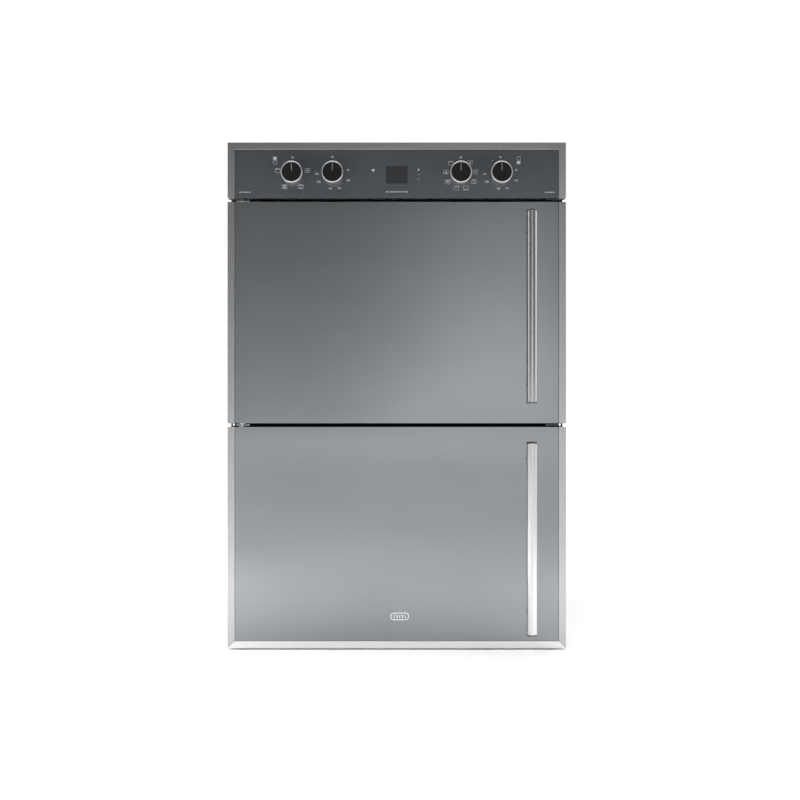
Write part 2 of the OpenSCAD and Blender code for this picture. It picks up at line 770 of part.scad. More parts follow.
placed() {
  side_panel();  // side_panel_left
  mirror([1, 0, 0]) side_panel();  // side_panel_right
  top_cover();
  base_plate();
  rear_cover();
  front_frame();
  upper_cavity();
  lower_cavity();
  insulation_blankets();
  door_gaskets();
  side_racks(upper_mid);  // upper_side_racks
  side_racks(lower_mid);  // lower_side_racks
  flat_element(upper_mid + grill_z, 180, 3);  // upper_grill_element
  flat_element(upper_mid + base_element_z, 190, 3);  // upper_base_element
  flat_element(lower_mid + grill_z, 180, 3);  // lower_grill_element
  ring_element();
  fan_cover();
  fan_motor();
  oven_lamps();
  blower_housing();
  blower_motor();
  terminal_box();
  cable_gland();
  fascia_frame();
  fascia_glass();
  display_module();
  control_bracket();
  rotary_switches();
  hinge_arm_top();
  hinge_arm_middle();
  hinge_arm_bottom();
  door_catches();
  fan_wheel();
  blower_wheel();
  knob_skirt(-function_x);  // upper_function_knob_skirt
  knob_cap(-function_x);  // upper_function_knob_cap
  knob_skirt(-thermostat_x);  // upper_thermostat_knob_skirt
  knob_cap(-thermostat_x);  // upper_thermostat_knob_cap
  knob_skirt(thermostat_x);  // lower_function_knob_skirt
  knob_cap(thermostat_x);  // lower_function_knob_cap
  knob_skirt(function_x);  // lower_thermostat_knob_skirt
  knob_cap(function_x);  // lower_thermostat_knob_cap
  wire_shelf(upper_mid);  // upper_wire_shelf
  baking_tray(upper_mid);  // upper_baking_tray
  wire_shelf(lower_mid);  // lower_wire_shelf
  baking_tray(lower_mid);  // lower_baking_tray
  door_glass(upper_door_z, 0);  // upper_door_glass
  upper_door_edging();
  door_body(upper_door_z, upper_tray);  // upper_door_body
  door_pane(upper_mid, upper_tray, middle_pane_y, middle_pane_t);  // upper_door_middle_pane
  door_pane(upper_mid, upper_tray, inner_pane_y, inner_pane_t);  // upper_door_inner_pane
  handle_bar(upper_door_z);  // upper_handle_bar
  handle_fittings(upper_door_z);  // upper_handle_fittings
  door_glass(lower_door_z, lower_sill);  // lower_door_glass
  lower_door_edging();
  door_body(lower_door_z, lower_tray);  // lower_door_body
  door_pane(lower_mid, lower_tray, middle_pane_y, middle_pane_t);  // lower_door_middle_pane
  door_pane(lower_mid, lower_tray, inner_pane_y, inner_pane_t);  // lower_door_inner_pane
  handle_bar(lower_door_z);  // lower_handle_bar
  handle_fittings(lower_door_z);  // lower_handle_fittings
}
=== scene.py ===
"""The looks of a built-in double wall oven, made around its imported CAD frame.

Everything is in metres in the row frame: +Z up, the doors face -Y. Places come from the
frame's own nodes, and the numbers below are sizes in millimetres unless they say otherwise.
"""

import json
import math

import bmesh
import bpy
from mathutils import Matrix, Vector


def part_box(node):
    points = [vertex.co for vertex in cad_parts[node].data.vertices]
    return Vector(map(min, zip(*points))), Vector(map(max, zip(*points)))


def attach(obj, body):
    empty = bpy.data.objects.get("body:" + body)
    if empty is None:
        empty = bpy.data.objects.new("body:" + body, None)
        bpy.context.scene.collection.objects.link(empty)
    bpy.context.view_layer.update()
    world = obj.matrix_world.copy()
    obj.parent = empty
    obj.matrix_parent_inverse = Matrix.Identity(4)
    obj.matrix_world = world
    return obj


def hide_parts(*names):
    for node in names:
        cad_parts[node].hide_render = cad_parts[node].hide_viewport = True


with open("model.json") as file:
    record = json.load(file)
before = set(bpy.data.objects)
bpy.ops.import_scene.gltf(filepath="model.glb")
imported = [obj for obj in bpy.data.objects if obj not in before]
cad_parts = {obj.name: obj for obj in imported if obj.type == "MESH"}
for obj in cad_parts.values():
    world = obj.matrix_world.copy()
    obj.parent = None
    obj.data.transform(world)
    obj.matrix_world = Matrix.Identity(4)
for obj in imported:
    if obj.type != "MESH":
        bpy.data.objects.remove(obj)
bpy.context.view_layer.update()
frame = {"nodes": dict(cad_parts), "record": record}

MM = 0.001
NODES = frame["nodes"]
RECORD = frame["record"]
BODY_OF = {n: b for b, ns in RECORD["behaviour"]["bodies"].items() for n in ns}
SLOT_OF = {s["node"]: s["material_slot"] for s in RECORD["subparts"]}
DOORS = ("upper", "lower")


# ---------------------------------------------------------------- places, from the frame

def low(node):
    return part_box(node)[0]


def high(node):
    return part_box(node)[1]


def middle(node):
    lowest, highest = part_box(node)
    return (lowest + highest) / 2


FRONT_Y = low("upper_door_edging").y          # face of the steel edging
GLASS_Y = low("upper_door_glass").y           # face of the glass
HALF_W = high("fascia_frame").x
TOP_EDGE = high("fascia_frame").z
LOW_EDGE = low("lower_door_edging").z
EDGING_W = HALF_W - high("fascia_glass").x - 0.3 * MM    # less the clearance beside the glass
KNOBS = [f"{door}_{kind}_knob" for door in DOORS for kind in ("function", "thermostat")]


# ---------------------------------------------------------------- mesh helpers

def tube(bm, path, radius, sides=12, closed=False):
    """A round tube along a path of points."""
    points = [Vector(p) for p in path]
    count = len(points)
    rings, normal = [], None
    for i, point in enumerate(points):
        before = points[i - 1] if i or closed else point
        after = points[(i + 1) % count] if i < count - 1 or closed else point
        heading = (after - before).normalized()
        if normal is None:
            aside = Vector((0, 0, 1)) if abs(heading.z) < 0.9 else Vector((1, 0, 0))
            normal = heading.cross(aside)
        normal = (normal - heading * normal.dot(heading)).normalized()
        across = heading.cross(normal)
        rings.append([bm.verts.new(point + radius * (math.cos(a) * normal + math.sin(a) * across))
                      for a in (math.tau * k / sides for k in range(sides))])
    for i in range(count if closed else count - 1):
        for k in range(sides):
            here, there = rings[i], rings[(i + 1) % count]
            bm.faces.new((here[k], here[(k + 1) % sides], there[(k + 1) % sides], there[k]))
    if not closed:
        bm.faces.new(rings[0][::-1])
        bm.faces.new(rings[-1])


def lathe(bm, profile, origin, axis, sides=48):
    """Turns a profile of (radius, height) points, in metres, about an axis through origin."""
    origin, axis = Vector(origin), Vector(axis).normalized()
    aside = Vector((0, 0, 1)) if abs(axis.z) < 0.9 else Vector((1, 0, 0))
    u = axis.cross(aside).normalized()
    v = axis.cross(u)
    rings = []
    for radius, height in profile:
        if radius < 1e-7:
            rings.append([bm.verts.new(origin + axis * height)])
            continue
        rings.append([bm.verts.new(origin + axis * height + radius * (math.cos(a) * u + math.sin(a) * v))
                      for a in (math.tau * k / sides for k in range(sides))])
    for one, two in zip(rings, rings[1:]):
        for k in range(sides):
            corners = [one[k % len(one)], one[(k + 1) % len(one)],
                       two[(k + 1) % len(two)], two[k % len(two)]]
            distinct = list(dict.fromkeys(corners))
            if len(distinct) > 2:
                bm.faces.new(distinct)


def rounded(path, radius, steps=5):
    """The path with its corners rounded off."""
    points = [Vector(p) for p in path]
    out = [points[0]]
    for before, here, after in zip(points, points[1:], points[2:]):
        into, away = (before - here).normalized(), (after - here).normalized()
        reach = radius / math.tan(into.angle(away) / 2)
        start, end = here + into * reach, here + away * reach
        centre = here + (into + away).normalized() * (radius / math.sin(into.angle(away) / 2))
        for i in range(steps + 1):
            spoke = (start - centre).normalized().slerp((end - centre).normalized(), i / steps)
            out.append(centre + spoke.normalized() * radius)
    return out + [points[-1]]


def rounded_loop(x, z, w, h, radius, steps=6):
    """Outline of an upright rounded rectangle centred on (x, z), as (x, z) pairs."""
    out = []
    for i, (sx, sz) in enumerate(((1, -1), (1, 1), (-1, 1), (-1, -1))):
        cx, cz = x + sx * (w / 2 - radius), z + sz * (h / 2 - radius)
        for k in range(steps + 1):
            a = math.radians(-90 + 90 * i + 90 * k / steps)
            out.append((cx + radius * math.cos(a), cz + radius * math.sin(a)))
    return out


def oblong(x, z, w, h):
    """Outline of an upright rectangle centred on (x, z), as (x, z) pairs."""
    return [(x + i * w / 2, z + k * h / 2) for i, k in ((-1, -1), (1, -1), (1, 1), (-1, 1))]


def prism(bm, outline, near, far):
    """Extrudes an outline of (x, z) pairs between two depths."""
    front = [bm.verts.new((a, near, b)) for a, b in outline]
    back = [bm.verts.new((a, far, b)) for a, b in outline]
    bm.faces.new(front)
    bm.faces.new(back[::-1])
    for k in range(len(outline)):
        n = (k + 1) % len(outline)
        bm.faces.new((front[n], front[k], back[k], back[n]))


def band(bm, outer, inner, near, far):
    """A flat ring between two outlines with the same number of points."""
    rings = [[bm.verts.new((x, y, z)) for x, z in line]
             for line, y in ((outer, near), (inner, near), (inner, far), (outer, far))]
    count = len(outer)
    for i in range(4):
        one, two = rings[i], rings[(i + 1) % 4]
        for k in range(count):
            n = (k + 1) % count
            bm.faces.new((one[k], one[n], two[n], two[k]))


def disc(x, z, r, steps=5):
    """Outline of a circle, as (x, z) pairs."""
    return rounded_loop(x, z, 2 * r, 2 * r, r * 0.999, steps)


def rod(bm, start, end, r, sides=14):
    """A straight wire with rounded ends."""
    start, end = Vector(start), Vector(end)
    long = (end - start).length
    lathe(bm, [(0, 0), (0.6 * r, 0.1 * r), (0.9 * r, 0.45 * r), (r, r), (r, long - r),
               (0.9 * r, long - 0.45 * r), (0.6 * r, long - 0.1 * r), (0, long)],
          start, end - start, sides)


def screw(bm, place, axis, radius=3.4 * MM):
    """A pan-head screw with a square socket."""
    r = radius
    lathe(bm, [(r, -0.1 * r), (r, 0.05 * r), (0.95 * r, 0.2 * r), (0.75 * r, 0.36 * r),
               (0.42 * r, 0.42 * r), (0.36 * r, 0.4 * r), (0.3 * r, 0.1 * r), (0, 0.08 * r)],
          place, axis, 24)


def piece(name, bm, body, material, bevel=0.0, smooth=35):
    """Finishes a bmesh as a piece of the oven that rides on a body."""
    bmesh.ops.recalc_face_normals(bm, faces=bm.faces)
    mesh = bpy.data.meshes.new(name)
    bm.to_mesh(mesh)
    bm.free()
    mesh.shade_smooth()
    mesh.set_sharp_from_angle(angle=math.radians(smooth))
    mesh.materials.append(material)
    obj = bpy.data.objects.new(name, mesh)
    bpy.context.scene.collection.objects.link(obj)
    if bevel:
        edge = obj.modifiers.new("soft edges", "BEVEL")
        edge.width = bevel
        edge.segments = 2
        edge.limit_method = "ANGLE"
        edge.angle_limit = math.radians(40)
        edge.harden_normals = True
    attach(obj, body)
    return obj


def refined(node, material, bevel, smooth=35):
    """The CAD node's own shape with softened edges, which stands for it."""
    bm = bmesh.new()
    bm.from_mesh(NODES[node].data)
    bmesh.ops.remove_doubles(bm, verts=bm.verts, dist=2e-6)
    bmesh.ops.dissolve_limit(bm, angle_limit=math.radians(1), verts=bm.verts, edges=bm.edges)
    obj = piece(node + "_finished", bm, BODY_OF[node], material, bevel * MM, smooth)
    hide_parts(node)
    return obj


def stand_in(name, bm, material, *nodes, bevel=0.0, smooth=35):
    """A new piece that stands for CAD nodes of one body."""
    obj = piece(name, bm, BODY_OF[nodes[0]], material, bevel, smooth)
    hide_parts(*nodes)
    return obj


# ---------------------------------------------------------------- materials

def add_node(tree, kind, links=None, **settings):
    """A new node in a tree; links gives each input socket a value or another node's output."""
    made = tree.nodes.new(kind)
    for key, value in settings.items():
        setattr(made, key, value)
    for socket, source in (links or {}).items():
        if isinstance(source, bpy.types.NodeSocket):
            tree.links.new(source, made.inputs[socket])
        else:
            made.inputs[socket].default_value = source
    return made


class Look:
    """A Principled material with shorthands for its procedural detail."""

    def __init__(self, name, color, roughness, metallic=0.0, **sockets):
        self.material = bpy.data.materials.new(name)
        self.material.use_nodes = True
        self.tree = self.material.node_tree
        self.shader = self.tree.nodes["Principled BSDF"]
        sockets.update({"Base Color": (*color, 1), "Roughness": roughness, "Metallic": metallic})
        for socket, value in sockets.items():
            self.shader.inputs[socket].default_value = value
        self.place = self.node("ShaderNodeTexCoord").outputs["Object"]
        self.normal = None

    def node(self, kind, links=None, **settings):
        return add_node(self.tree, kind, links, **settings)

    def noise(self, scale, stretch=(1, 1, 1), detail=2.0):
        where = self.node("ShaderNodeMapping", {"Vector": self.place, "Scale": stretch})
        return self.node("ShaderNodeTexNoise", {"Vector": where.outputs[0], "Scale": scale,
                                                "Detail": detail}).outputs[0]

    def cells(self, scale, feature="F1", output="Distance"):
        return self.node("ShaderNodeTexVoronoi", {"Vector": self.place, "Scale": scale},
                         feature=feature).outputs[output]

    def math(self, operation, a, b=0.0):
        return self.node("ShaderNodeMath", {0: a, 1: b}, operation=operation).outputs[0]

    def blend(self, factor, a, b):
        made = self.node("ShaderNodeMix", {"Factor": factor, "A": a, "B": b})
        return made.outputs["Result"]

    def between(self, fac, low_value, high_value, start=0.3, end=0.7):
        return self.node("ShaderNodeMapRange", {"Value": fac, "From Min": start, "From Max": end,
                                                "To Min": low_value, "To Max": high_value}).outputs[0]

    def colour(self, fac, *stops):
        ramp = self.node("ShaderNodeValToRGB", {"Fac": fac})
        for i, (at, color) in enumerate(stops):
            stop = ramp.color_ramp.elements[i] if i < 2 else ramp.color_ramp.elements.new(at)
            stop.position, stop.color = at, (*color, 1)
        self.tree.links.new(ramp.outputs["Color"], self.shader.inputs["Base Color"])
        return self

    def rough(self, fac, smooth_value, rough_value):
        spread = self.between(fac, smooth_value, rough_value)
        self.tree.links.new(spread, self.shader.inputs["Roughness"])
        return self

    def bump(self, fac, strength, depth):
        links = {"Height": fac, "Strength": strength, "Distance": depth}
        if self.normal:
            links["Normal"] = self.normal
        self.normal = self.node("ShaderNodeBump", links).outputs[0]
        self.tree.links.new(self.normal, self.shader.inputs["Normal"])
        return self


def shade(value, tint=(1, 1, 1)):
    return tuple(value * t for t in tint)


def brushed(name, tone, roughness, mitre=None):
    """Satin stainless steel with a fine upright grain. A mitred frame turns its grain at the corners:
    mitre is (height of the bar's outer edge, 1 for a bottom bar or -1 for a top one, a gain that
    paints the level bar's colour lighter than the upright bars, a painted light for the light that bar
    catches)."""
    look = Look(name, shade(tone), roughness, 1.0)
    streaks = look.noise(1, (2600, 2600, 26), 3)
    stops = [(0.25, shade(tone * 0.95)), (0.75, shade(tone * 1.03))]
    fac = streaks
    if mitre:
        level, up, painted_light_gain = mitre
        across = look.noise(1, (26, 2600, 2600), 3)
        split = look.node("ShaderNodeSeparateXYZ", {0: look.place})
        aside = look.math("SUBTRACT", HALF_W, look.math("ABSOLUTE", split.outputs["X"]))
        above = look.math("MULTIPLY", look.math("SUBTRACT", split.outputs["Z"], level), up)
        in_bar = look.math("GREATER_THAN", aside, above)
        streaks = look.blend(in_bar, streaks, across)
        fac = look.math("MULTIPLY", look.math("ADD", streaks, in_bar), 0.5)
        stops = [(at / 2, color) for at, color in stops]
        # the level bar's colour is scaled by the mitre's third number: painted light wherever it is
        # above 1
        stops += [(at + 0.5, shade(painted_light_gain, color)) for at, color in stops]
    look.colour(fac, *stops)
    look.rough(streaks, roughness - 0.03, roughness + 0.03)
    look.bump(streaks, 0.04, 0.02 * MM)
    return look.material


def mirror_glass():
    """Grey half-mirrored glass: a slightly wavy pane with a trace of cleaning smears."""
    look = Look("mirror_glass", (0.235, 0.25, 0.261), 0.07, 1.0, **{"Coat Weight": 0.15,
                                                                  "Coat Roughness": 0.02})
    smears = look.noise(5, (1, 1, 2.4), 4)
    look.colour(smears, (0.3, (0.226, 0.241, 0.252)), (0.7, (0.242, 0.257, 0.268)))
    look.rough(smears, 0.06, 0.1)
    look.bump(look.noise(2.2, (1, 1, 1), 1), 0.04, 0.4 * MM)
    return look.material


def panel_glass():
    """Darker glass of the control panel, printed behind."""
    look = Look("panel_glass", (0.06, 0.067, 0.073), 0.12, 0.35, **{"Coat Weight": 0.6,
                                                                   "Coat Roughness": 0.03})
    cloud = look.noise(7, (1, 1, 1), 3)
    look.colour(cloud, (0.3, (0.055, 0.062, 0.068)), (0.7, (0.064, 0.071, 0.077)))
    look.rough(cloud, 0.1, 0.15)
    return look.material


def galvanised():
    look = Look("galvanised_steel", (0.38, 0.395, 0.41), 0.42, 0.85)
    spangle = look.cells(190, "F1", "Color")
    value = look.node("ShaderNodeSeparateColor", {0: spangle}).outputs[0]
    look.colour(value, (0.0, (0.34, 0.355, 0.37)), (1.0, (0.42, 0.435, 0.45)))
    look.rough(value, 0.36, 0.46)
    look.bump(look.noise(160, (1, 1, 1), 3), 0.08, 0.1 * MM)
    return look.material


def enamel(name, color, speckle=None, roughness=0.22):
    """Vitreous enamel: glossy, faintly orange-peeled, with pale specks where it has any."""
    look = Look(name, color, roughness, 0.0, **{"Coat Weight": 0.5, "Coat Roughness": 0.08})
    if speckle:
        dots = look.cells(420)
        look.colour(dots, (0.12, speckle), (0.2, color))
    else:
        look.colour(look.noise(30, (1, 1, 1), 3), (0.3, shade(0.85, color)), (0.7, shade(1.2, color)))
    look.rough(look.noise(14, (1, 1, 1), 3), roughness - 0.05, roughness + 0.08)
    look.bump(look.noise(260, (1, 1, 1), 2), 0.1, 0.15 * MM)
    return look.material


def plain_metal(name, color, roughness, scale=90):
    look = Look(name, color, roughness, 1.0)
    mottle = look.noise(scale, (1, 1, 1), 4)
    look.colour(mottle, (0.3, shade(0.85, color)), (0.7, shade(1.08, color)))
    look.rough(mottle, roughness - 0.06, roughness + 0.08)
    look.bump(mottle, 0.06, 0.05 * MM)
    return look.material


def turned(name, color, roughness):
    """Metal turned on a lathe: fine rings stacked along Y, the axis of every knob."""
    look = Look(name, color, roughness, 1.0)
    rings = look.noise(1, (300, 5200, 300), 2)
    look.colour(rings, (0.3, shade(0.88, color)), (0.7, shade(1.06, color)))
    look.rough(rings, roughness - 0.05, roughness + 0.06)
    look.bump(rings, 0.1, 0.02 * MM)
    return look.material


def moulded(name, color, roughness=0.42, grain=900, specular=0.5):
    """Moulded plastic or rubber with a fine grain."""
    look = Look(name, color, roughness, 0.0, **{"Specular IOR Level": specular})
    fine = look.noise(grain, (1, 1, 1), 3)
    look.colour(look.noise(40, (1, 1, 1), 3), (0.3, shade(0.85, color)), (0.7, shade(1.15, color)))
    look.rough(fine, roughness - 0.06, roughness + 0.08)
    look.bump(fine, 0.15, 0.06 * MM)
    return look.material


def clear_glass(name, tint, roughness):
    look = Look(name, tint, roughness, 0.0, **{"Transmission Weight": 0.95, "IOR": 1.45})
    film = look.noise(9, (1, 1, 1), 3)
    look.colour(film, (0.3, shade(0.97, tint)), (0.7, tint))
    look.rough(film, roughness, roughness + 0.03)
    return look.material


def wool():
    look = Look("mineral_wool", (0.72, 0.68, 0.55), 0.95, 0.0)
    fibres = look.noise(220, (1, 4, 1), 5)
    look.colour(fibres, (0.25, (0.55, 0.5, 0.38)), (0.75, (0.82, 0.79, 0.68)))
    look.bump(fibres, 0.8, 1.5 * MM)
    return look.material


def printed(name, value):
    """Pale screen print, slightly uneven in density."""
    look = Look(name, shade(value), 0.5, 0.0)
    ink = look.noise(500, (1, 1, 1), 2)
    look.colour(ink, (0.3, shade(value * 0.9)), (0.7, shade(value)))
    return look.material


MATERIALS = {
    "galvanised_steel": galvanised(),
    "black_enamel": enamel("black_enamel", (0.008, 0.008, 0.009)),
    "cavity_enamel": enamel("cavity_enamel", (0.022, 0.027, 0.036), (0.3, 0.32, 0.35)),
    "mineral_wool": wool(),
    "seal_rubber": moulded("seal_rubber", (0.018, 0.018, 0.018), 0.6),
    "chromed_wire": plain_metal("chromed_wire", (0.72, 0.72, 0.73), 0.12),
    "element_steel": plain_metal("element_steel", (0.13, 0.125, 0.13), 0.38, 60),
    "motor_steel": plain_metal("motor_steel", (0.2, 0.21, 0.23), 0.45),
    "bare_aluminium": plain_metal("bare_aluminium", (0.66, 0.67, 0.68), 0.3),
    "lamp_glass": clear_glass("lamp_glass", (0.95, 0.95, 0.9), 0.08),
    "white_plastic": moulded("white_plastic", (0.72, 0.72, 0.68)),
    "black_plastic": moulded("black_plastic", (0.012, 0.012, 0.013)),
    "brushed_steel": brushed("brushed_steel", 0.44, 0.25),
    "fitting_steel": plain_metal("fitting_steel", (0.42, 0.42, 0.43), 0.3, 400),
    "panel_glass": panel_glass(),
    "mirror_glass": mirror_glass(),
    "clear_glass": clear_glass("clear_glass", (0.9, 0.94, 0.93), 0.0),
    "door_steel": enamel("door_steel", (0.035, 0.038, 0.042), None, 0.35),
    "hinge_steel": plain_metal("hinge_steel", (0.4, 0.41, 0.42), 0.35, 200),
    "knob_metal": turned("knob_metal", (0.74, 0.74, 0.75), 0.36),
    "knob_black": moulded("knob_black", (0.007, 0.007, 0.008), 0.38, specular=0.2),
}
# the panel's edging is a copy of the door steel painted lighter, tone 0.6 against 0.44: painted light
PANEL_STEEL_PAINTED_LIGHTER = brushed("brushed_steel_panel", 0.6, 0.23, mitre=(TOP_EDGE, -1, 1))
# the lower door's edging, its bottom bar's colour painted 1.65 times lighter than the uprights: painted
# light
LOWER_STEEL_PAINTED_LIT_BOTTOM = brushed("brushed_steel_lower", 0.44, 0.25, mitre=(LOW_EDGE, 1, 1.65))
# the handles' steel is a copy of the door steel painted lighter, tone 0.62 against 0.44: painted light
HANDLE_STEEL_PAINTED_LIGHTER = brushed("brushed_steel_handle", 0.62, 0.25)
FRAME_BLACK = moulded("black_frame_paint", (0.003, 0.003, 0.0032), 0.6, specular=0.15)
# dark steel for the handle end caps: painted shade, standing for the shadow and reflection at the
# handles' ends
END_CAP_PAINTED_SHADE = plain_metal("end_caps_painted_shade", (0.17, 0.17, 0.175), 0.28, 400)
PRINT = printed("white_print", 0.5)
DIM_PRINT = printed("grey_print", 0.2)
PALE_PRINT = printed("pale_print", 0.8)
WINDOW_EDGE = mirror_glass()
WINDOW_EDGE.name = "window_edge"
SEAM = moulded("dark_seam", (0.01, 0.01, 0.01), 0.7)


# ---------------------------------------------------------------- camera, floor and light

def make_camera():
    """Level camera in front of the doors, a little right of their middle and half their height."""
    distance, height = 1.6, 438.8 * MM
    data = bpy.data.cameras.new("camera")
    data.sensor_width = 36
    data.lens = 41.03
    camera = bpy.data.objects.new("camera", data)
    camera.location = (5.7 * MM, FRONT_Y - distance, height)
    camera.rotation_euler = (math.radians(90), 0, 0)
    bpy.context.scene.collection.objects.link(camera)
    bpy.context.scene.camera = camera


def make_floor():
    mesh = bpy.data.meshes.new("floor")
    mesh.from_pydata([(x, y, 0) for x, y in oblong(0, 0, 28, 28)], [], [(0, 1, 2, 3)])
    floor = bpy.data.objects.new("floor", mesh)
    look = Look("floor", (0.93, 0.93, 0.93), 0.8, 0.0, **{"Specular IOR Level": 0.1})
    look.colour(look.noise(3, (1, 1, 1), 2), (0.3, shade(0.925)), (0.7, shade(0.935)))
    mesh.materials.append(look.material)
    bpy.context.scene.collection.objects.link(floor)


def make_world():
    """White studio. Behind the oven it is white; in front of it the light falls off with
    height, a little sooner on the left, and away from the camera on both sides."""
    level, fall, brightest, dimmest = 1.22, 4.2, 1.35, 0.1
    sway, waves = 0.07, 13.0                     # how much the falloff leans, and how quickly
    world = bpy.data.worlds.new("studio")
    world.use_nodes = True
    tree = world.node_tree

    def calc(operation, a, b=0.0):
        return add_node(tree, "ShaderNodeMath", {0: a, 1: b}, operation=operation).outputs[0]

    def ease(value, start, end, first, last):
        return add_node(tree, "ShaderNodeMapRange", {"Value": value, "From Min": start, "From Max": end,
                                                     "To Min": first, "To Max": last},
                        interpolation_type="SMOOTHSTEP").outputs[0]

    heading = add_node(tree, "ShaderNodeTexCoord").outputs["Generated"]
    axes = add_node(tree, "ShaderNodeSeparateXYZ", {0: heading}).outputs
    lean = calc("MULTIPLY", calc("SINE", calc("MULTIPLY", axes["X"], waves)), -sway)
    height = calc("ADD", axes["Z"], lean)
    wall = calc("MULTIPLY", calc("EXPONENT", calc("MULTIPLY", height, -fall)), level)
    wall = calc("MINIMUM", wall, brightest)
    wall = calc("MULTIPLY", wall, ease(calc("ABSOLUTE", axes["X"]), 0.14, 0.32, 1.0, 0.05))
    wall = calc("MULTIPLY", wall, ease(axes["Z"], 0.19, 0.32, 1.0, 0.05))
    wall = calc("MAXIMUM", wall, dimmest)
    light = add_node(tree, "ShaderNodeMix", {"Factor": ease(axes["Y"], -0.55, -0.05, 0.0, 1.0),
                                             "A": wall, "B": 1.0}).outputs["Result"]
    tree.links.new(light, tree.nodes["Background"].inputs["Strength"])
    tree.nodes["Background"].inputs["Color"].default_value = (1, 1, 1, 1)
    bpy.context.scene.world = world


def sky_light(strength, angle):
    """Even soft light from straight above."""
    data = bpy.data.lights.new("sky", "SUN")
    data.energy = strength
    data.angle = math.radians(angle)
    bpy.context.scene.collection.objects.link(bpy.data.objects.new("sky", data))


def area_light(name, place, target, size, watts):
    data = bpy.data.lights.new(name, "AREA")
    data.shape = "RECTANGLE"
    data.size, data.size_y = size
    data.energy = watts
    light = bpy.data.objects.new(name, data)
    light.location = place
    light.rotation_euler = (Vector(target) - Vector(place)).to_track_quat("-Z", "Y").to_euler()
    # no bright squares in the glass
    light.visible_camera = light.visible_glossy = light.visible_transmission = False
    bpy.context.scene.collection.objects.link(light)


make_camera()
make_floor()
make_world()
sky_light(1.55, 60)
area_light("pool_near_left", (-0.6, -1.35, 1.9), (-0.6, -1.35, 0), (0.8, 0.8), 9)
for side, watts in ((-1, 7), (1, 5)):
    area_light("foot", (side * 0.95, -0.75, 0.4), (side * 0.05, -0.33, 0), (0.35, 0.35), watts)
area_light("pool_far", (0.4, -8, 4), (0.4, -8, 0), (2, 2), 60)
bpy.context.scene.view_settings.view_transform = "Standard"


# ---------------------------------------------------------------- sheet metal and glass

for node, bevel in (("side_panel_left", 0.25), ("side_panel_right", 0.25), ("top_cover", 0.25),
                    ("base_plate", 0.3), ("rear_cover", 0.25),
                    ("upper_cavity", 0.4), ("lower_cavity", 0.4), ("fan_cover", 0.35),
                    ("control_bracket", 0.2), ("fascia_glass", 0.45),
                    ("upper_door_edging", 0.4), ("upper_door_body", 0.3),
                    ("lower_door_body", 0.3), ("door_catches", 0.4), ("hinge_arm_top", 0.3),
                    ("hinge_arm_middle", 0.3), ("hinge_arm_bottom", 0.2),
                    ("upper_baking_tray", 0.4), ("lower_baking_tray", 0.4),
                    ("terminal_box", 0.6), ("cable_gland", 0.5), ("fan_wheel", 0.2),
                    ("fan_motor", 0.4), ("blower_housing", 0.3), ("blower_motor", 0.5),
                    ("blower_wheel", 0), ("rotary_switches", 0.8), ("display_module", 0.8),
                    ("insulation_blankets", 4), ("upper_door_inner_pane", 0.5),
                    ("upper_door_middle_pane", 0.4), ("lower_door_inner_pane", 0.5),
                    ("lower_door_middle_pane", 0.4)):
    refined(node, MATERIALS[SLOT_OF[node]], bevel)
refined("front_frame", FRAME_BLACK, 0.3)
refined("lower_door_edging", LOWER_STEEL_PAINTED_LIT_BOTTOM, 0.4)
refined("fascia_frame", PANEL_STEEL_PAINTED_LIGHTER, 0.4)


def outer_glass(door, radius=2 * MM, steps=4):
    """The door's outer pane, faced with a few large quads so that its mirror stays even."""
    node = f"{door}_door_glass"
    lowest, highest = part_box(node)
    x, z = (lowest.x + highest.x) / 2, (lowest.z + highest.z) / 2
    w, h = highest.x - lowest.x, highest.z - lowest.z
    outline = rounded_loop(x, z, w, h, radius, steps)
    count, inset = len(outline), 4 * radius
    bm = bmesh.new()
    rims = []
    for y in (lowest.y, highest.y):
        rim = [bm.verts.new((a, y, b)) for a, b in outline]
        core = [bm.verts.new((x + sx * (w / 2 - inset), y, z + sz * (h / 2 - inset)))
                for sx, sz in ((1, -1), (1, 1), (-1, 1), (-1, -1))]
        bm.faces.new(core)
        for i in range(4):
            first, last = i * (steps + 1), i * (steps + 1) + steps
            for k in range(first, last):
                bm.faces.new((rim[k], rim[k + 1], core[i]))
            bm.faces.new((rim[last], rim[(last + 1) % count], core[(i + 1) % 4], core[i]))
        rims.append(rim)
    near, far = rims
    for k in range(count):
        n = (k + 1) % count
        bm.faces.new((near[k], near[n], far[n], far[k]))
    stand_in(f"{door}_door_glass_finished", bm, MATERIALS["mirror_glass"], node, bevel=0.45 * MM)


for door in DOORS:
    outer_glass(door)

for node, obj in NODES.items():
    obj.data.materials.clear()
    obj.data.materials.append(MATERIALS[SLOT_OF[node]])


# ---------------------------------------------------------------- handles

